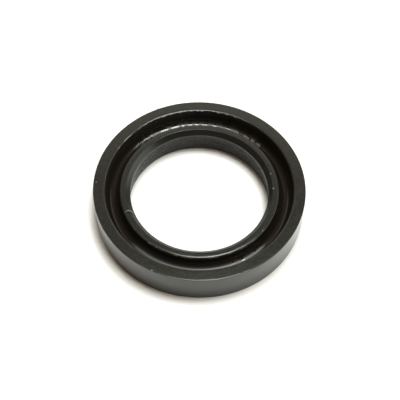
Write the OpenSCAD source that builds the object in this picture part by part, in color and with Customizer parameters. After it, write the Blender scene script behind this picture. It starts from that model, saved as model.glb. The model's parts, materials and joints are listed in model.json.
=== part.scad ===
// Oil seal for a turning shaft: one ring moulded in black rubber.
// The origin is the centre of the flat air-side face, and +Z runs along the axis to the oil side.
// Everything is one section turned about the axis. X in the section is the radius, Y is the height.

/* [Fit] */
// Diameter of the shaft that the lip wipes
shaft_d = 20; // [18:0.5:21]
// Diameter of the housing bore, which is also the outside of the seal
housing_d = 30; // [29:0.5:34]
// Height of the seal along the axis
seal_h = 5; // [4.5:0.25:8]

/* [Outer wall] */
// Thickness of the outer wall beside the groove
wall_t = 1.7; // [1.2:0.05:2.2]
// Radius on the wall's outer edges, top and bottom
wall_edge_r = 0.1; // [0.05:0.05:0.4]

/* [Groove] */
// Depth of the groove behind the lip, from the top of the outer wall
groove_depth = 2.45; // [1.9:0.05:2.8]
// Radius of the groove's round floor
groove_floor_r = 0.95; // [0.3:0.05:1.05]
// Radius on the groove's two upper edges
groove_edge_r = 0.25; // [0.05:0.01:0.3]

/* [Sealing lip] */
// How much smaller than the shaft the lip is before it is fitted, on the diameter
lip_squeeze = 0.4; // [0.2:0.05:0.8]
// How far the flat rim of the lip lies below the top of the outer wall
lip_drop = 0.6; // [0.3:0.01:0.8]
// Width of the lip's flat rim
lip_rim_w = 0.9; // [0.6:0.05:1.2]
// Width of the oil-side bevel, from the rim's inner edge to the sealing edge
bevel_w = 0.6; // [0.3:0.05:0.7]
// Angle between the oil-side bevel and the shaft
oil_angle = 42; // [38:1:50]
// Length of the narrow band that touches the shaft
contact_h = 0.2; // [0.1:0.05:0.4]
// Angle between the air-side cone and the shaft
air_angle = 10; // [8:1:25]

/* [Air-side bore] */
// Gap between the shaft and the bore below the lip, on the radius
bore_gap = 0.15; // [0.1:0.05:0.4]
// Size of the chamfer at the foot of the bore
bore_chamfer = 0.05; // [0.05:0.05:0.4]

/* [Hidden] */

// A circle of this many steps stands for a true round
round_steps = 180;
// How far a cutting shape runs past the face that it cuts
cut_past = 0.5;
// Half width of the flat that always stays between the two rounds of the groove's floor
least_flat = 0.01;
rubber_black = [0.10, 0.10, 0.095];

// Radii, from the shaft outwards
contact_r = (shaft_d - lip_squeeze) / 2;
bore_r = shaft_d / 2 + bore_gap;
rim_in_r = contact_r + bevel_w;
rim_out_r = rim_in_r + lip_rim_w;
wall_out_r = housing_d / 2;
wall_in_r = wall_out_r - wall_t;

// Heights, from the top down
rim_z = seal_h - lip_drop;
contact_top_z = rim_z - bevel_w / tan(oil_angle);
contact_foot_z = contact_top_z - contact_h;
cone_foot_z = contact_foot_z - (bore_r - contact_r) / tan(air_angle);

// The groove lies between the lip and the wall, and its floor is round where it is wide enough
groove_w = wall_in_r - rim_out_r;
floor_r = min(groove_floor_r, groove_w / 2 - least_flat);
floor_z = seal_h - groove_depth;

// Outline of the ring before its groove is cut and its edges are rounded
module blank_section() {
    polygon([
        [bore_r + bore_chamfer, 0],
        [wall_out_r, 0],
        [wall_out_r, seal_h],
        [wall_in_r - groove_w / 2, seal_h],
        [wall_in_r - groove_w / 2, rim_z],
        [rim_in_r, rim_z],
        [contact_r, contact_top_z],
        [contact_r, contact_foot_z],
        [bore_r, cone_foot_z],
        [bore_r, bore_chamfer]
    ]);
}

// The groove: upright sides, with a round at each side of the floor
module groove_section() {
    translate([rim_out_r, floor_z + floor_r])
        square([groove_w, groove_depth - floor_r + cut_past]);
    translate([rim_out_r + floor_r, floor_z])
        square([groove_w - 2 * floor_r, floor_r + cut_past]);
    for (x = [rim_out_r + floor_r, wall_in_r - floor_r])
        translate([x, floor_z + floor_r])
            circle(r = floor_r, $fn = round_steps);
}

// What is taken off a square corner to leave a quarter round. The side is the way out of the rubber.
module edge_round(corner, side, r) {
    reach = r + cut_past;
    translate(corner - r * side)
        difference() {
            translate([min(side.x, 0) * reach, min(side.y, 0) * reach])
                square(reach);
            circle(r = r, $fn = round_steps);
        }
}

module seal_section() {
    difference() {
        blank_section();
        groove_section();
        edge_round([wall_out_r, 0], [1, -1], wall_edge_r);
        edge_round([wall_out_r, seal_h], [1, 1], wall_edge_r);
        edge_round([wall_in_r, seal_h], [-1, 1], groove_edge_r);
        edge_round([rim_out_r, rim_z], [1, 1], groove_edge_r);
    }
}

module seal_ring() {
    color(rubber_black)
        rotate_extrude($fn = round_steps)
            seal_section();
}

seal_ring();
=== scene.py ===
# %% [markdown]
# An oil seal is a rubber ring that keeps oil in where a turning shaft leaves a housing.
# This one is a single moulding in black rubber: an outer wall, a deep groove, and a lip
# that wipes the shaft. The lesson loads the measured model as a fixed frame, draws the
# section once, turns it into the ring with Geometry Nodes, and then spends its effort on
# light and finish, because a plain black ring is seen almost only by what it reflects.

# %% The measured frame
import json
import math

import bmesh
import bpy
from mathutils import Matrix, Vector


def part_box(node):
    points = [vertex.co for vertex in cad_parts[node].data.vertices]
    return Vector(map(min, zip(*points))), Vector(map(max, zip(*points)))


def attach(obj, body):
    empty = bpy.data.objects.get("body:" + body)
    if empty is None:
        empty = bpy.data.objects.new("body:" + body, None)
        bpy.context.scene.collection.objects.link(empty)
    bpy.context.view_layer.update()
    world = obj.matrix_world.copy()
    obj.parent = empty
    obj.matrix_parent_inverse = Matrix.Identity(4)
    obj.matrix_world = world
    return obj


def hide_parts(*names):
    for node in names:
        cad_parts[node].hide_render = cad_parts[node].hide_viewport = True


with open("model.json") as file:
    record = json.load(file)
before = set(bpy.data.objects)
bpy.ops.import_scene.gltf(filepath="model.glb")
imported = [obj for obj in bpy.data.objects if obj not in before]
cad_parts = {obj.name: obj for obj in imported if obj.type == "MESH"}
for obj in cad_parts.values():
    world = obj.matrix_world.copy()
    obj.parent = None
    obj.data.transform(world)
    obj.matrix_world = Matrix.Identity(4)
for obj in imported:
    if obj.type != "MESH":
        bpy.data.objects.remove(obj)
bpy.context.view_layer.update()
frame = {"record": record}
scene = bpy.context.scene
MM = 0.001

ring_low, ring_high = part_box("seal_ring")
OUTSIDE_R = ring_high.x
SEAL_H = ring_high.z
mounts = {mount["name"]: mount for mount in frame["record"]["mounts"]}
LIP_R = mounts["shaft_lip"]["dims"]["r_mm"] * MM
LIP_Z = mounts["shaft_lip"]["pos_m"][2]
LIP_BAND = mounts["shaft_lip"]["dims"]["length_mm"] * MM
print(f"ring {2 * OUTSIDE_R / MM:.1f} mm across, {SEAL_H / MM:.1f} mm high, lip radius {LIP_R / MM:.2f} mm")

# %% [markdown]
# The camera stands where the photographer stood: high in front of the ring, tipped a
# little to one side. Its place is built from an elevation, a roll and a distance, so that
# each can be read and changed by itself. The two small aim values move the ring in the
# picture without any lens shift.

# %% The camera
ELEVATION = math.radians(57.65)
ROLL = math.radians(1.22)
DISTANCE = 143.4 * MM
LENS = 89.85
AIM_HEIGHT = 1.95 * MM
AIM_RIGHT = 0.11 * MM
AIM_DOWN = 0.30 * MM


def camera_axes(elevation, roll):
    """Right, up and forward directions of a camera in front of the ring that looks down on it."""
    forward = Vector((0, math.cos(elevation), -math.sin(elevation)))
    level_up = Vector((0, math.sin(elevation), math.cos(elevation)))
    level_right = Vector((1, 0, 0))
    right = math.cos(roll) * level_right + math.sin(roll) * level_up
    up = math.cos(roll) * level_up - math.sin(roll) * level_right
    return right, up, forward


right, up, forward = camera_axes(ELEVATION, ROLL)
aim = Vector((0, 0, AIM_HEIGHT)) + AIM_RIGHT * right - AIM_DOWN * up
stand = aim - DISTANCE * forward

camera = bpy.data.objects.new("camera", bpy.data.cameras.new("camera"))
camera.data.lens = LENS
camera.data.clip_start = 1 * MM
camera.matrix_world = Matrix((
    (right.x, up.x, -forward.x, stand.x),
    (right.y, up.y, -forward.y, stand.y),
    (right.z, up.z, -forward.z, stand.z),
    (0, 0, 0, 1),
))
scene.collection.objects.link(camera)
scene.camera = camera
print("camera stands at", [round(x / MM, 1) for x in stand], "mm")

# %% [markdown]
# The ring lies on a white sheet in a dim room. Rays that go straight to the camera see a
# pale backdrop, but everything else sees the dim, slightly warm room, because black rubber
# turns grey in a bright one. The Light Path node tells the two kinds of ray apart.

# %% The room and the white sheet
scene.view_settings.view_transform = "Standard"
ROOM_LIGHT = 0.12
ROOM_COLOUR = (1.0, 0.76, 0.55)
BACKDROP_LIGHT = 0.9

world = bpy.data.worlds.new("studio room")
world.use_nodes = True
room_nodes = world.node_tree.nodes
room = room_nodes["Background"]
room.inputs["Color"].default_value = (*ROOM_COLOUR, 1)
room.inputs["Strength"].default_value = ROOM_LIGHT
backdrop = room_nodes.new("ShaderNodeBackground")
backdrop.inputs["Strength"].default_value = BACKDROP_LIGHT
ray = room_nodes.new("ShaderNodeLightPath")
pick = room_nodes.new("ShaderNodeMixShader")
world.node_tree.links.new(ray.outputs["Is Camera Ray"], pick.inputs[0])
world.node_tree.links.new(room.outputs[0], pick.inputs[1])
world.node_tree.links.new(backdrop.outputs[0], pick.inputs[2])
world.node_tree.links.new(pick.outputs[0], room_nodes["World Output"].inputs["Surface"])
scene.world = world

SHEET_HALF = 2.0
PAPER_WHITE = (0.885, 0.875, 0.86, 1)
PAPER_ROUGH = 0.9
sheet_mesh = bpy.data.meshes.new("white sheet")
sheet_mesh.from_pydata(
    [(-SHEET_HALF, -SHEET_HALF, 0), (SHEET_HALF, -SHEET_HALF, 0),
     (SHEET_HALF, SHEET_HALF, 0), (-SHEET_HALF, SHEET_HALF, 0)], [], [(0, 1, 2, 3)])
sheet = bpy.data.objects.new("white_sheet", sheet_mesh)
scene.collection.objects.link(sheet)
paper = bpy.data.materials.new("white paper")
paper.use_nodes = True
paper_shader = paper.node_tree.nodes["Principled BSDF"]
paper_shader.inputs["Base Color"].default_value = PAPER_WHITE
paper_shader.inputs["Roughness"].default_value = PAPER_ROUGH
sheet_mesh.materials.append(paper)
print("room light", ROOM_LIGHT, "on a sheet", 2 * SHEET_HALF, "m wide")

# %% [markdown]
# Four soft boxes stand round the ring. A reflection is as bright as the light looks, not as
# strong as its power, so each box is given by where it stands in the sky, how wide and high
# it looks in degrees and how bright its face is; the power follows from its area. The key
# hangs nearly overhead and a little to the back right, which keeps the shadows short and
# puts the thin bright lines on the rounded edges. The pale wall behind lightens the far
# side of the ring, and the low card on the right shows in the bevel on the left.

# %% The soft boxes
def soft_box(name, azimuth, elevation, distance, wide, high, brightness, colour=(1, 1, 1)):
    """A soft box that faces the ring. Azimuth 0 is to the right and 90 is behind.
    Wide and high are the degrees that it spans, seen from the ring."""
    a, e = math.radians(azimuth), math.radians(elevation)
    towards = Vector((math.cos(a) * math.cos(e), math.sin(a) * math.cos(e), math.sin(e)))
    light = bpy.data.lights.new(name, "AREA")
    light.shape = "RECTANGLE"
    light.size = 2 * distance * math.tan(math.radians(wide / 2))
    light.size_y = 2 * distance * math.tan(math.radians(high / 2))
    light.energy = brightness * math.pi * light.size * light.size_y
    light.color = colour
    lamp = bpy.data.objects.new(name, light)
    turn = towards.to_track_quat("Z", "Y").to_matrix().to_4x4()
    lamp.matrix_world = Matrix.Translation(towards * distance) @ turn
    lamp.visible_camera = False
    scene.collection.objects.link(lamp)
    print(f"{name}: {light.energy:.2f} W")
    return lamp


GREENISH = (0.96, 1.0, 0.97)
YELLOWISH = (1.0, 0.98, 0.85)
COOL = (0.97, 1.0, 0.98)
WARM = (1.0, 0.76, 0.55)
soft_box("key", azimuth=52, elevation=81, distance=0.45, wide=25, high=19,
         brightness=29, colour=GREENISH)
soft_box("ceiling", azimuth=-110, elevation=66, distance=0.50, wide=56, high=56,
         brightness=0.22, colour=WARM)
soft_box("pale wall", azimuth=90, elevation=29, distance=0.55, wide=70, high=51,
         brightness=0.9, colour=YELLOWISH)
soft_box("right card", azimuth=5, elevation=16, distance=0.50, wide=56, high=28,
         brightness=2.5, colour=COOL)

# %% [markdown]
# Everything the rubber's finish does depends on the place on the ring: the groove's walls
# are matt and brown and its floor is glossy and nearly black, while the faces that were
# trimmed and handled are satin and grey. Small helpers place and join nodes, and a node
# group that turns object coordinates into radius and height in millimetres serves as a
# ruler for all the rest.

# %% Helpers for node trees
def add(tree, kind, **settings):
    """A node of that kind in the tree, with its settings made."""
    node = tree.nodes.new(kind)
    for name, value in settings.items():
        setattr(node, name, value)
    return node


def feed(tree, value, socket):
    """Joins an output to a socket, or sets a plain number, colour or text on it."""
    if isinstance(value, bpy.types.NodeSocket):
        tree.links.new(value, socket)
    else:
        socket.default_value = value


def calc(tree, operation, *values):
    """A Math node on sockets or numbers; returns its output."""
    node = add(tree, "ShaderNodeMath", operation=operation)
    for value, socket in zip(values, node.inputs):
        feed(tree, value, socket)
    return node.outputs[0]


def ease(tree, value, low, high, start=0.0, end=1.0):
    """A smooth step from start to end while the value goes from low to high."""
    node = add(tree, "ShaderNodeMapRange", interpolation_type="SMOOTHSTEP")
    settings = {"Value": value, "From Min": low, "From Max": high, "To Min": start, "To Max": end}
    for name, given in settings.items():
        feed(tree, given, node.inputs[name])
    return node.outputs["Result"]


def shader_group(name, inputs, outputs):
    """An empty shader node group with named sockets; returns it with its input and output nodes."""
    group = bpy.data.node_groups.new(name, "ShaderNodeTree")
    for side, sockets in (("INPUT", inputs), ("OUTPUT", outputs)):
        for label, kind in sockets:
            group.interface.new_socket(label, in_out=side, socket_type="NodeSocket" + kind)
    return group, add(group, "NodeGroupInput"), add(group, "NodeGroupOutput")


def use(tree, group, **values):
    """Places a group in a tree and feeds its inputs, named with _ for a space; returns its outputs."""
    node = add(tree, "ShaderNodeGroup", node_tree=group)
    for name, value in values.items():
        feed(tree, value, node.inputs[name.replace("_", " ")])
    return node.outputs


# %% The ruler
def make_ruler():
    """Object coordinates as a place, a radius and a height, all in millimetres."""
    group, given, made = shader_group(
        "ruler", [], [("Place", "Vector"), ("Radius", "Float"), ("Height", "Float")])
    where = add(group, "ShaderNodeTexCoord")
    place = add(group, "ShaderNodeVectorMath", operation="SCALE")
    place.inputs["Scale"].default_value = 1 / MM
    group.links.new(where.outputs["Object"], place.inputs[0])
    part = add(group, "ShaderNodeSeparateXYZ")
    group.links.new(place.outputs[0], part.inputs[0])
    squares = [calc(group, "POWER", part.outputs[axis], 2.0) for axis in "XY"]
    group.links.new(place.outputs[0], made.inputs["Place"])
    group.links.new(calc(group, "SQRT", calc(group, "ADD", *squares)), made.inputs["Radius"])
    group.links.new(part.outputs["Z"], made.inputs["Height"])
    return group


ruler = make_ruler()
print("groups so far:", [group.name for group in bpy.data.node_groups])

# %% [markdown]
# Three effects come up again and again, so each is a group of its own: a soft band picks
# out a zone between two radii or heights, the grain gives the fine mottling of handled
# rubber with a few dust points, and an edge mask follows one sharp edge of the section and
# breaks it into short dashes with noise, for the worn outer edge and the painted highlights.

# %% The shared effects
def make_band():
    """A mask that is 1 between two values, with soft ends."""
    group, given, made = shader_group(
        "soft band", [("Value", "Float"), ("Low", "Float"), ("High", "Float"), ("Softness", "Float")],
        [("Mask", "Float")])
    value, low, high, soft = (given.outputs[name] for name in ("Value", "Low", "High", "Softness"))
    rise = ease(group, value, calc(group, "SUBTRACT", low, soft), calc(group, "ADD", low, soft))
    fall = ease(group, value, calc(group, "SUBTRACT", high, soft), calc(group, "ADD", high, soft), 1.0, 0.0)
    group.links.new(calc(group, "MULTIPLY", rise, fall), made.inputs["Mask"])
    return group


def noise(tree, place, scale, detail, roughness=0.5):
    """A noise value from 0 to 1 at a place, in cells per millimetre."""
    node = add(tree, "ShaderNodeTexNoise", noise_dimensions="3D")
    for value, name in ((place, "Vector"), (scale, "Scale"), (detail, "Detail"), (roughness, "Roughness")):
        feed(tree, value, node.inputs[name])
    return node.outputs["Fac"]


def make_grain():
    """Fine grain for bump, slow mottling for colour and gloss, and sparse dust points."""
    group, given, made = shader_group(
        "grain and dust", [("Place", "Vector"), ("Fineness", "Float"), ("Dust Share", "Float")],
        [("Grain", "Float"), ("Mottle", "Float"), ("Dust", "Float")])
    place, fineness = given.outputs["Place"], given.outputs["Fineness"]
    group.links.new(noise(group, place, fineness, 3.0, 0.6), made.inputs["Grain"])
    slow = noise(group, place, calc(group, "MULTIPLY", fineness, 0.3), 4.0, 0.65)
    group.links.new(ease(group, slow, 0.3, 0.7), made.inputs["Mottle"])
    cells = add(group, "ShaderNodeTexVoronoi", feature="F1")
    feed(group, place, cells.inputs["Vector"])
    feed(group, calc(group, "MULTIPLY", fineness, 0.45), cells.inputs["Scale"])
    pick = add(group, "ShaderNodeSeparateColor")
    group.links.new(cells.outputs["Color"], pick.inputs[0])
    chosen = calc(group, "LESS_THAN", pick.outputs[0], given.outputs["Dust Share"])
    point = ease(group, cells.outputs["Distance"], 0.08, 0.3, 1.0, 0.0)
    group.links.new(calc(group, "MULTIPLY", chosen, point), made.inputs["Dust"])
    return group


def make_wear_and_sheen():
    """Wear along one edge of the section, broken into dashes; the same mask lays painted highlights."""
    group, given, made = shader_group(
        "worn edge and painted sheen",
        [("Place", "Vector"), ("Radius", "Float"), ("Height", "Float"),
         ("Edge Radius", "Float"), ("Edge Height", "Float"), ("Reach", "Float")],
        [("Wear And Sheen", "Float")])
    aside = calc(group, "SUBTRACT", given.outputs["Radius"], given.outputs["Edge Radius"])
    below = calc(group, "SUBTRACT", given.outputs["Height"], given.outputs["Edge Height"])
    away = calc(group, "SQRT", calc(group, "ADD", calc(group, "POWER", calc(group, "ABSOLUTE", aside), 2.0),
                                    calc(group, "POWER", calc(group, "ABSOLUTE", below), 2.0)))
    close = ease(group, away, 0.0, given.outputs["Reach"], 1.0, 0.0)
    broken = ease(group, noise(group, given.outputs["Place"], 1.3, 4.0, 0.7), 0.47, 0.63)
    group.links.new(calc(group, "MULTIPLY", close, broken), made.inputs["Wear And Sheen"])
    return group


band, grain, wear_and_sheen = make_band(), make_grain(), make_wear_and_sheen()
print("groups so far:", [group.name for group in bpy.data.node_groups])

# %% [markdown]
# The section is the whole design of the seal. It is drawn once, as corners in radius and
# height with the rounding that each corner gets, from the shaft side round to the outer
# wall and back. The outside, the height and the lip come from the measured frame.

# %% The section
WALL_T = 1.7 * MM
WALL_EDGE_R = 0.04 * MM
GROOVE_DEPTH = 2.45 * MM
GROOVE_FLOOR_R = 0.95 * MM
GROOVE_EDGE_R = 0.25 * MM
LIP_DROP = 0.60 * MM
LIP_RIM_W = 0.9 * MM
BEVEL_W = 0.6 * MM
RIM_INNER_R = 0.05 * MM
LIP_EDGE_R = 0.03 * MM
BORE_GAP = 0.35 * MM
AIR_ANGLE = math.radians(10)
BORE_CHAMFER = 0.05 * MM
BORE_EDGE_R = 0.03 * MM

wall_in_r = OUTSIDE_R - WALL_T
rim_in_r = LIP_R + BEVEL_W
rim_out_r = rim_in_r + LIP_RIM_W
bore_r = LIP_R + BORE_GAP
rim_z = SEAL_H - LIP_DROP
floor_z = SEAL_H - GROOVE_DEPTH
lip_top_z = LIP_Z + LIP_BAND / 2
lip_foot_z = LIP_Z - LIP_BAND / 2
cone_foot_z = lip_foot_z - BORE_GAP / math.tan(AIR_ANGLE)

corners = [
    (bore_r + BORE_CHAMFER, 0, BORE_EDGE_R),
    (OUTSIDE_R, 0, WALL_EDGE_R),
    (OUTSIDE_R, SEAL_H, WALL_EDGE_R),
    (wall_in_r, SEAL_H, GROOVE_EDGE_R),
    (wall_in_r, floor_z, GROOVE_FLOOR_R),
    (rim_out_r, floor_z, GROOVE_FLOOR_R),
    (rim_out_r, rim_z, GROOVE_EDGE_R),
    (rim_in_r, rim_z, RIM_INNER_R),
    (LIP_R, lip_top_z, LIP_EDGE_R),
    (LIP_R, lip_foot_z, LIP_EDGE_R),
    (bore_r, cone_foot_z, BORE_EDGE_R),
    (bore_r, BORE_CHAMFER, BORE_EDGE_R),
]
print(f"groove {(wall_in_r - rim_out_r) / MM:.2f} mm wide")
print(f"lip rim from {rim_in_r / MM:.2f} to {rim_out_r / MM:.2f} mm")

# %% [markdown]
# The rubber is one material with zones. The groove's walls are matt and brown, and its
# floor is glossy and nearly black. The bevel and the bore below it are darker than the
# satin top, rim and outer wall; in the bore the darker colour is also painted shade from
# the hole. Fine turned lines run round the bore. Grain lifts the satin faces a little, and
# the outer top edge is worn. Dull patches on the groove's floor break the mirrored lamp
# into dashes at the front and the back, and pale painted highlights lie along the wall's
# far edge and the lip's near edge, lengthening the lines that the lamp makes there.

# %% The rubber's values
SATIN = (0.0145, 0.0145, 0.0116, 1)
GROOVE_WALL = (0.0190, 0.0152, 0.0110, 1)
GROOVE_FLOOR = (0.0065, 0.0046, 0.003, 1)
# Dark tone of the bevel; on the bore it is also painted shade from inside the hole.
BEVEL_BLACK_AND_BORE_SHADE = (0.0085, 0.0085, 0.0080, 1)
DUSTY = (0.075, 0.074, 0.066, 1)
# Colour of the pale painted highlights on two rounded edges of the groove.
PAINTED_HIGHLIGHT = (0.24, 0.23, 0.20, 1)
RUBBER_IOR = 1.43

SATIN_GLOSS = (0.115, 0.15)
FLOOR_GLOSS, FLOOR_DULL = 0.14, 0.40
GROOVE_WALL_DULL = 0.42
BEVEL_GLOSS, BEVEL_DULL = 0.30, 0.52
EDGE_GLOSS = 0.18
WORN_ROUGHER = 0.12

POWDER_SHARE, POINT_SHARE, WORN_SHARE = 0.12, 0.35, 0.15
GRAIN_FINENESS, DUST_SHARE = 9.0, 0.06
# The second reach is the width of the painted highlight lines.
WORN_REACH, PAINTED_HIGHLIGHT_REACH = 0.16, 0.13
# How strong the painted highlight on the lip's near edge is.
NEAR_LIP_HIGHLIGHT_SHARE = 0.45

ZONE_SOFT = 0.04
BORE_LINES = (1.4, 1.4, 8.0)
LINE_DEPTH = 1.8
BUMP_HEIGHT = 0.12 * MM
SKIN_SHARE = 0.035
PATCH_SIZE = 1.2


# %% Mixing colours and numbers
def blend_colour(tree, share, first, second):
    """Mixes two colours by a share."""
    node = add(tree, "ShaderNodeMix", data_type="RGBA")
    feed(tree, share, node.inputs["Factor"])
    feed(tree, first, node.inputs["A"])
    feed(tree, second, node.inputs["B"])
    return next(socket for socket in node.outputs if socket.type == "RGBA")


def blend_value(tree, share, first, second):
    """Mixes two numbers by a share."""
    node = add(tree, "ShaderNodeMix", data_type="FLOAT")
    feed(tree, share, node.inputs["Factor"])
    feed(tree, first, node.inputs["A"])
    feed(tree, second, node.inputs["B"])
    return node.outputs["Result"]


def both(tree, first, second):
    """Where two masks meet."""
    return calc(tree, "MULTIPLY", first, second)


# %% The rubber's zones
def rubber_zones(tree, radius, height):
    """Masks for the groove, the bevel, the bore and the satin rest, by radius and height."""
    rim_in, foot = rim_in_r / MM, lip_foot_z / MM
    between = use(tree, band, Value=radius, Low=rim_out_r / MM - 0.05, High=wall_in_r / MM + 0.05,
                  Softness=ZONE_SOFT)["Mask"]
    inside_rim = use(tree, band, Value=radius, Low=9.0, High=rim_in - 0.02, Softness=ZONE_SOFT)["Mask"]
    groove = both(tree, between, ease(tree, height, 1.0, 1.5))
    bevel = both(tree, inside_rim, ease(tree, height, foot - 0.05, foot + 0.05))
    bore = both(tree, ease(tree, radius, rim_in - 0.1, rim_in, 1.0, 0.0),
                ease(tree, height, foot - 0.1, foot, 1.0, 0.0))
    satin = calc(tree, "SUBTRACT", 1.0, calc(tree, "MAXIMUM", groove, bevel))
    return groove, bevel, bore, satin


def edge_line(tree, here, edge_r, edge_z, reach):
    """Wear along the edge of the section at that radius and height; the same mask places painted
    highlights.
    """
    return use(tree, wear_and_sheen, Place=here["Place"], Radius=here["Radius"], Height=here["Height"],
               Edge_Radius=edge_r / MM, Edge_Height=edge_z / MM, Reach=reach)["Wear And Sheen"]


def painted_highlight_lines(tree, here, across, along, colour):
    """Lays pale painted highlights over a colour: the wall's far edge and the lip's near edge."""
    middle = GROOVE_EDGE_R * (1 - math.sqrt(0.5))
    far_left_highlight = both(tree, ease(tree, along, 0.36, 0.50), ease(tree, across, 0.30, 0.55, 1.0, 0.0))
    near_lip_highlight = ease(tree, along, -0.50, -0.75, 0.0, NEAR_LIP_HIGHLIGHT_SHARE)
    for where, edge_r, edge_z in ((far_left_highlight, wall_in_r + middle, SEAL_H - middle),
                                  (near_lip_highlight, rim_out_r - middle, rim_z - middle)):
        line = edge_line(tree, here, edge_r, edge_z, PAINTED_HIGHLIGHT_REACH)
        colour = blend_colour(tree, both(tree, line, where), colour, PAINTED_HIGHLIGHT)
    return colour


def floor_gloss(tree, place, side, along):
    """Roughness of the groove's floor: glossy, with dull patches at the front and the back.
    In front the patches join up, apart from the stretch at the right."""
    front_or_back = ease(tree, calc(tree, "ABSOLUTE", along), 0.6, 0.8)
    in_front = ease(tree, side["Y"], -1.0, 1.0)
    joined = both(tree, calc(tree, "SUBTRACT", 1.0, in_front), ease(tree, side["X"], 2.0, 5.0, 0.4, 0.10))
    patches = calc(tree, "ADD", noise(tree, place, PATCH_SIZE, 1.5), joined)
    dull = both(tree, front_or_back, ease(tree, patches, 0.46, 0.54))
    return blend_value(tree, dull, FLOOR_GLOSS, FLOOR_DULL)


def rounded_edges(tree, radius, height, gloss):
    """Gives the two rounded upper edges of the groove a gloss of their own."""
    for edge_in, edge_out, edge_z in ((wall_in_r, wall_in_r + GROOVE_EDGE_R, SEAL_H),
                                      (rim_out_r - GROOVE_EDGE_R, rim_out_r, rim_z)):
        beside = use(tree, band, Value=radius, Low=edge_in / MM - 0.03, High=edge_out / MM + 0.03,
                     Softness=0.05)["Mask"]
        at_top = ease(tree, height, edge_z / MM - 0.5, edge_z / MM - 0.3)
        gloss = blend_value(tree, both(tree, beside, at_top), gloss, EDGE_GLOSS)
    return gloss


def skin_bump(tree, place, grain_value, satin, bore):
    """A normal from the rubber's fine grain and the turned lines in the bore."""
    squeeze = add(tree, "ShaderNodeVectorMath", operation="MULTIPLY")
    squeeze.inputs[1].default_value = BORE_LINES
    tree.links.new(place, squeeze.inputs[0])
    lines = calc(tree, "SUBTRACT", noise(tree, squeeze.outputs[0], 1.0, 2.0), 0.5)
    lines = both(tree, lines, calc(tree, "MULTIPLY", bore, LINE_DEPTH))
    skin = both(tree, grain_value, calc(tree, "ADD", calc(tree, "MULTIPLY", satin, 0.8), 0.2))
    bump = add(tree, "ShaderNodeBump")
    bump.inputs["Distance"].default_value = BUMP_HEIGHT
    bump.inputs["Strength"].default_value = 1.0
    feed(tree, calc(tree, "ADD", calc(tree, "MULTIPLY", skin, SKIN_SHARE), lines), bump.inputs["Height"])
    return bump.outputs["Normal"]


# %% The rubber
def make_rubber():
    """Black rubber, satin outside, matt and brown on the groove's walls, glossy on its floor."""
    material = bpy.data.materials.new("black rubber")
    material.use_nodes = True
    tree = material.node_tree
    shader = tree.nodes["Principled BSDF"]
    shader.inputs["IOR"].default_value = RUBBER_IOR
    here = use(tree, ruler)
    place, radius, height = here["Place"], here["Radius"], here["Height"]
    side = add(tree, "ShaderNodeSeparateXYZ").outputs
    tree.links.new(place, side["X"].node.inputs[0])
    across, along = (calc(tree, "DIVIDE", side[axis], radius) for axis in "XY")

    groove, bevel, bore, satin = rubber_zones(tree, radius, height)
    up_wall = ease(tree, height, floor_z / MM + 0.2, floor_z / MM + 1.1)
    fine = use(tree, grain, Place=place, Fineness=GRAIN_FINENESS, Dust_Share=DUST_SHARE)
    worn = edge_line(tree, here, OUTSIDE_R, SEAL_H, WORN_REACH)

    colour = blend_colour(tree, groove, SATIN, blend_colour(tree, up_wall, GROOVE_FLOOR, GROOVE_WALL))
    # The bevel and the bore take the darker colour, which on the bore is partly painted shade.
    colour = blend_colour(tree, calc(tree, "MAXIMUM", bevel, bore), colour, BEVEL_BLACK_AND_BORE_SHADE)
    powder = both(tree, satin, calc(tree, "MULTIPLY", fine["Mottle"], POWDER_SHARE))
    points = both(tree, satin, calc(tree, "MULTIPLY", fine["Dust"], POINT_SHARE))
    pale = calc(tree, "MAXIMUM", powder, points)
    pale = calc(tree, "MAXIMUM", pale, calc(tree, "MULTIPLY", worn, WORN_SHARE))
    colour = blend_colour(tree, pale, colour, DUSTY)
    # Painted highlights go over the colour on the wall's far edge and the lip's near edge.
    feed(tree, painted_highlight_lines(tree, here, across, along, colour), shader.inputs["Base Color"])

    satin_gloss = ease(tree, fine["Mottle"], 0.0, 1.0, *SATIN_GLOSS)
    in_groove = blend_value(tree, up_wall, floor_gloss(tree, place, side, along), GROOVE_WALL_DULL)
    gloss = blend_value(tree, groove, satin_gloss, in_groove)
    on_bevel = ease(tree, side["Y"], -7.0, -3.0, BEVEL_DULL, BEVEL_GLOSS)
    gloss = rounded_edges(tree, radius, height, blend_value(tree, bevel, gloss, on_bevel))
    rougher = calc(tree, "MULTIPLY", worn, WORN_ROUGHER)
    feed(tree, calc(tree, "ADD", gloss, rougher), shader.inputs["Roughness"])

    tree.links.new(skin_bump(tree, place, fine["Grain"], satin, bore), shader.inputs["Normal"])
    return material


rubber = make_rubber()
print("rubber has", len(rubber.node_tree.nodes), "nodes")

# %% [markdown]
# A ring is a section turned about an axis, and Geometry Nodes can follow that rule: the
# corners become a closed curve, Fillet Curve rounds each corner by its own radius, and
# Curve to Mesh sweeps it round a circle. The straight runs are cut into short steps first,
# so that smooth shading stays flat on flat faces and bends only at the rounds.

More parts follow.
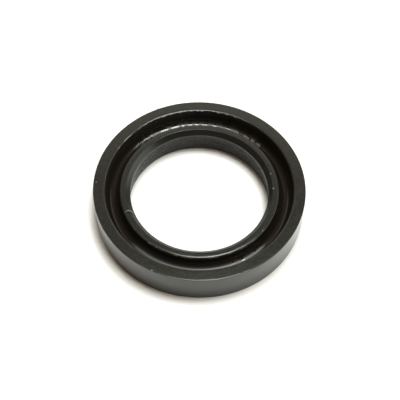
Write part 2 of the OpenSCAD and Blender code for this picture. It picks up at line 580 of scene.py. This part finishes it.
# %% The turning tree
def turning_tree():
    """Rounds the corners of a section and turns it about Z. The section lies in XY: radius less the
    turning radius along X, height along Y."""
    tree = bpy.data.node_groups.new("turn the section", "GeometryNodeTree")
    for label, kind in (("Section", "Geometry"), ("Turning Radius", "Float"), ("Turn Steps", "Int"),
                        ("Corner Steps", "Int"), ("Flat Step", "Float"), ("Rubber", "Material")):
        tree.interface.new_socket(label, in_out="INPUT", socket_type="NodeSocket" + kind)
    tree.interface.new_socket("Ring", in_out="OUTPUT", socket_type="NodeSocketGeometry")
    link = tree.links.new
    given = add(tree, "NodeGroupInput")
    made = add(tree, "NodeGroupOutput")

    outline = add(tree, "GeometryNodeMeshToCurve")
    rounding = add(tree, "GeometryNodeInputNamedAttribute", data_type="FLOAT")
    rounding.inputs["Name"].default_value = "rounding"
    fillet = add(tree, "GeometryNodeFilletCurve", mode="POLY")
    fillet.inputs["Limit Radius"].default_value = True
    link(given.outputs["Section"], outline.inputs["Mesh"])
    link(outline.outputs["Curve"], fillet.inputs["Curve"])
    link(given.outputs["Corner Steps"], fillet.inputs["Count"])
    link(rounding.outputs["Attribute"], fillet.inputs["Radius"])

    following = add(tree, "GeometryNodeOffsetPointInCurve")
    following.inputs["Offset"].default_value = 1
    here = add(tree, "GeometryNodeInputPosition")
    there = add(tree, "GeometryNodeSampleIndex", data_type="FLOAT_VECTOR", domain="POINT")
    link(fillet.outputs["Curve"], there.inputs["Geometry"])
    link(here.outputs["Position"], there.inputs["Value"])
    link(following.outputs["Point Index"], there.inputs["Index"])
    run = add(tree, "ShaderNodeVectorMath", operation="DISTANCE")
    link(here.outputs["Position"], run.inputs[0])
    link(there.outputs["Value"], run.inputs[1])
    cuts = calc(tree, "FLOOR", calc(tree, "DIVIDE", run.outputs["Value"], given.outputs["Flat Step"]))
    steps = add(tree, "GeometryNodeSubdivideCurve")
    link(fillet.outputs["Curve"], steps.inputs["Curve"])
    link(cuts, steps.inputs["Cuts"])

    turn_over = add(tree, "GeometryNodeTransform")
    turn_over.inputs["Rotation"].default_value = (math.pi, 0, 0)
    circle = add(tree, "GeometryNodeCurvePrimitiveCircle", mode="RADIUS")
    sweep = add(tree, "GeometryNodeCurveToMesh")
    link(steps.outputs["Curve"], turn_over.inputs["Geometry"])
    link(given.outputs["Turn Steps"], circle.inputs["Resolution"])
    link(given.outputs["Turning Radius"], circle.inputs["Radius"])
    link(circle.outputs["Curve"], sweep.inputs["Curve"])
    link(turn_over.outputs["Geometry"], sweep.inputs["Profile Curve"])
    finish_tree(tree, sweep.outputs["Mesh"], given.outputs["Rubber"], made.inputs["Ring"])
    return tree


def finish_tree(tree, mesh, material, out):
    """Ends a tree: smooth shading, instances made real, and the material set."""
    smooth = add(tree, "GeometryNodeSetShadeSmooth")
    whole = add(tree, "GeometryNodeRealizeInstances")
    coat = add(tree, "GeometryNodeSetMaterial")
    tree.links.new(mesh, whole.inputs["Geometry"])
    tree.links.new(whole.outputs["Geometry"], smooth.inputs["Geometry"])
    tree.links.new(smooth.outputs["Geometry"], coat.inputs["Geometry"])
    tree.links.new(material, coat.inputs["Material"])
    tree.links.new(coat.outputs["Geometry"], out)


# %% [markdown]
# A live modifier would be lost on export, so the result of a tree is copied into a plain
# mesh. The inputs are set by the identifiers of their sockets before the object is first
# evaluated. The sweep's seam is then closed and the faces are turned outwards.

# %% Baking a tree
def bake_tree(name, base_mesh, tree, values):
    """Runs a tree on a mesh with the named values and returns the result as a plain object."""
    worker = bpy.data.objects.new(name + " base", base_mesh)
    scene.collection.objects.link(worker)
    modifier = worker.modifiers.new("tree", "NODES")
    modifier.node_group = tree
    for socket in tree.interface.items_tree:
        if socket.in_out == "INPUT" and socket.name in values:
            modifier[socket.identifier] = values[socket.name]
    bpy.context.view_layer.update()
    evaluated = worker.evaluated_get(bpy.context.evaluated_depsgraph_get())
    mesh = bpy.data.meshes.new_from_object(evaluated)
    worker.modifiers.remove(modifier)
    bpy.data.objects.remove(worker)
    mesh.name = name
    piece = bpy.data.objects.new(name, mesh)
    scene.collection.objects.link(piece)
    return piece


def face_outwards(piece):
    """Closes seams and turns every face of a closed piece outwards."""
    shape = bmesh.new()
    shape.from_mesh(piece.data)
    bmesh.ops.remove_doubles(shape, verts=shape.verts, dist=1e-7)
    bmesh.ops.recalc_face_normals(shape, faces=shape.faces)
    open_edges = sum(1 for edge in shape.edges if not edge.is_manifold)
    triangles = sum(len(face.verts) - 2 for face in shape.faces)
    volume = shape.calc_volume(signed=True)
    shape.to_mesh(piece.data)
    shape.free()
    print(f"{piece.name}: {triangles} triangles, {open_edges} open edges, {volume / MM ** 3:.3f} mm3")


# %% The ring
TURNING_R = 12 * MM
section_mesh = bpy.data.meshes.new("section")
section_mesh.from_pydata(
    [(r - TURNING_R, z, 0) for r, z, _ in corners],
    [(i, (i + 1) % len(corners)) for i in range(len(corners))], [])
rounding = section_mesh.attributes.new("rounding", "FLOAT", "POINT")
rounding.data.foreach_set("value", [radius for _, _, radius in corners])

ring = bake_tree("rubber_ring", section_mesh, turning_tree(), {
    "Turning Radius": TURNING_R,
    "Turn Steps": 320,
    "Corner Steps": 8,
    "Flat Step": 0.25 * MM,
    "Rubber": rubber,
})
face_outwards(ring)
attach(ring, "root")
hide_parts("seal_ring")

# %% [markdown]
# The seal is not quite clean. A few pale specks of dust lie on the top face, the outer edge
# and the lip's rim, and a nick in the outer edge shows as one more pale mark. They are
# single lumps at known places, so each place is one point with
# its own size, and Geometry Nodes puts a flattened, knobbly ball on every point. The seed
# of the turn is fixed, so that the lumps are the same every time.

# %% The dust specks
def make_dust(name, colour, fineness):
    """Dull pale dust or lint, mottled by the same grain as the rubber."""
    material = bpy.data.materials.new(name)
    material.use_nodes = True
    tree = material.node_tree
    shader = tree.nodes["Principled BSDF"]
    fine = use(tree, grain, Place=use(tree, ruler)["Place"], Fineness=fineness, Dust_Share=0.0)
    darker = (colour[0] * 0.6, colour[1] * 0.6, colour[2] * 0.6, 1)
    feed(tree, blend_colour(tree, fine["Mottle"], darker, (*colour, 1)), shader.inputs["Base Color"])
    feed(tree, ease(tree, fine["Grain"], 0.2, 0.8, 0.7, 0.9), shader.inputs["Roughness"])
    return material


def speck_tree():
    """Puts a flattened knobbly lump on every point, as large as the point's size."""
    tree = bpy.data.node_groups.new("dust specks", "GeometryNodeTree")
    for label, kind in (("Points", "Geometry"), ("Flatness", "Float"), ("Knobs", "Float"),
                        ("Seed", "Int"), ("Dust", "Material")):
        tree.interface.new_socket(label, in_out="INPUT", socket_type="NodeSocket" + kind)
    tree.interface.new_socket("Specks", in_out="OUTPUT", socket_type="NodeSocketGeometry")
    link = tree.links.new
    given = add(tree, "NodeGroupInput")
    made = add(tree, "NodeGroupOutput")

    ball = add(tree, "GeometryNodeMeshIcoSphere")
    ball.inputs["Radius"].default_value = 0.5
    ball.inputs["Subdivisions"].default_value = 3
    bumps = add(tree, "ShaderNodeTexNoise")
    bumps.inputs["Scale"].default_value = 3.0
    middle = add(tree, "ShaderNodeVectorMath", operation="SUBTRACT")
    middle.inputs[1].default_value = (0.5, 0.5, 0.5)
    push = add(tree, "ShaderNodeVectorMath", operation="SCALE")
    lump = add(tree, "GeometryNodeSetPosition")
    link(bumps.outputs["Color"], middle.inputs[0])
    link(middle.outputs[0], push.inputs[0])
    link(given.outputs["Knobs"], push.inputs["Scale"])
    link(ball.outputs["Mesh"], lump.inputs["Geometry"])
    link(push.outputs[0], lump.inputs["Offset"])

    size = add(tree, "GeometryNodeInputNamedAttribute", data_type="FLOAT")
    size.inputs["Name"].default_value = "size"
    shape = add(tree, "ShaderNodeCombineXYZ")
    link(size.outputs["Attribute"], shape.inputs["X"])
    link(size.outputs["Attribute"], shape.inputs["Y"])
    link(calc(tree, "MULTIPLY", size.outputs["Attribute"], given.outputs["Flatness"]), shape.inputs["Z"])
    spin = add(tree, "FunctionNodeRandomValue", data_type="FLOAT")
    spin.inputs[3].default_value = 2 * math.pi
    link(given.outputs["Seed"], spin.inputs["Seed"])
    turn = add(tree, "ShaderNodeCombineXYZ")
    link(spin.outputs[1], turn.inputs["Z"])
    scatter = add(tree, "GeometryNodeInstanceOnPoints")
    link(given.outputs["Points"], scatter.inputs["Points"])
    link(lump.outputs["Geometry"], scatter.inputs["Instance"])
    link(turn.outputs[0], scatter.inputs["Rotation"])
    link(shape.outputs[0], scatter.inputs["Scale"])
    finish_tree(tree, scatter.outputs["Instances"], given.outputs["Dust"], made.inputs["Specks"])
    return tree


def on_ring(radius, angle, height):
    """A point given by radius and height in millimetres and an angle in degrees from the right."""
    a = math.radians(angle)
    return Vector((radius * math.cos(a), radius * math.sin(a), height)) * MM


TOP, RIM = SEAL_H / MM, rim_z / MM
# Radius, angle, height and size of each speck. The last one is the nick in the far-left edge.
speck_places = [
    (14.60, 178.6, TOP, 0.17),
    (10.47, 1.6, RIM, 0.24),
    (10.52, 15.4, RIM, 0.18),
    (11.10, -37.0, RIM, 0.20),
    (14.90, -114.3, TOP, 0.20),
    (14.98, -106.6, TOP - 0.32, 0.14),
    (14.97, 115.6, TOP - 0.06, 0.34),
]
speck_mesh = bpy.data.meshes.new("speck places")
speck_mesh.from_pydata([on_ring(r, a, z) for r, a, z, _ in speck_places], [], [])
sizes = speck_mesh.attributes.new("size", "FLOAT", "POINT")
sizes.data.foreach_set("value", [size * MM for _, _, _, size in speck_places])
specks = bake_tree("dust_specks", speck_mesh, speck_tree(), {
    "Flatness": 0.4,
    "Knobs": 0.35,
    "Seed": 4,
    "Dust": make_dust("pale dust", (0.22, 0.215, 0.19), 20.0),
})
face_outwards(specks)
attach(specks, "root")

# %% [markdown]
# One short lint fibre lies across the lip: it starts on the rim, arches a little and hangs
# down the bevel. It follows a path, so it is a smooth curve through a few points, swept
# with a small circle that tapers to both ends.

# %% The lint fibre
def fibre_tree():
    """Sweeps a tapering round fibre along a smooth curve through the points."""
    tree = bpy.data.node_groups.new("lint fibre", "GeometryNodeTree")
    for label, kind in (("Path", "Geometry"), ("Thickness", "Float"), ("Lint", "Material")):
        tree.interface.new_socket(label, in_out="INPUT", socket_type="NodeSocket" + kind)
    tree.interface.new_socket("Fibre", in_out="OUTPUT", socket_type="NodeSocketGeometry")
    link = tree.links.new
    given = add(tree, "NodeGroupInput")
    made = add(tree, "NodeGroupOutput")
    path = add(tree, "GeometryNodeMeshToCurve")
    smooth = add(tree, "GeometryNodeCurveSplineType", spline_type="CATMULL_ROM")
    even = add(tree, "GeometryNodeResampleCurve", mode="COUNT")
    even.inputs["Count"].default_value = 33
    link(given.outputs["Path"], path.inputs["Mesh"])
    link(path.outputs["Curve"], smooth.inputs["Curve"])
    link(smooth.outputs["Curve"], even.inputs["Curve"])
    along = add(tree, "GeometryNodeSplineParameter")
    swell = calc(tree, "SINE", calc(tree, "MULTIPLY", along.outputs["Factor"], math.pi))
    thin = add(tree, "GeometryNodeSetCurveRadius")
    link(even.outputs["Curve"], thin.inputs["Curve"])
    taper = calc(tree, "ADD", calc(tree, "MULTIPLY", swell, 0.65), 0.35)
    link(taper, thin.inputs["Radius"])
    around = add(tree, "GeometryNodeCurvePrimitiveCircle", mode="RADIUS")
    around.inputs["Resolution"].default_value = 10
    link(calc(tree, "MULTIPLY", given.outputs["Thickness"], 0.5), around.inputs["Radius"])
    sweep = add(tree, "GeometryNodeCurveToMesh")
    sweep.inputs["Fill Caps"].default_value = True
    link(thin.outputs["Curve"], sweep.inputs["Curve"])
    link(around.outputs["Curve"], sweep.inputs["Profile Curve"])
    if "Scale" in sweep.inputs:
        link(taper, sweep.inputs["Scale"])
    finish_tree(tree, sweep.outputs["Mesh"], given.outputs["Lint"], made.inputs["Fibre"])
    return tree


fibre_points = [(11.12, -157.6, RIM + 0.02), (10.90, -158.0, RIM + 0.10), (10.62, -157.9, RIM + 0.12),
                (10.36, -157.2, RIM + 0.03), (10.16, -156.1, RIM - 0.19), (10.03, -155.2, RIM - 0.36)]
fibre_mesh = bpy.data.meshes.new("fibre path")
fibre_mesh.from_pydata([on_ring(*point) for point in fibre_points],
                       [(i, i + 1) for i in range(len(fibre_points) - 1)], [])
fibre = bake_tree("lint_fibre", fibre_mesh, fibre_tree(), {
    "Thickness": 0.18 * MM,
    "Lint": make_dust("pale lint", (0.20, 0.20, 0.19), 14.0),
})
face_outwards(fibre)
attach(fibre, "root")
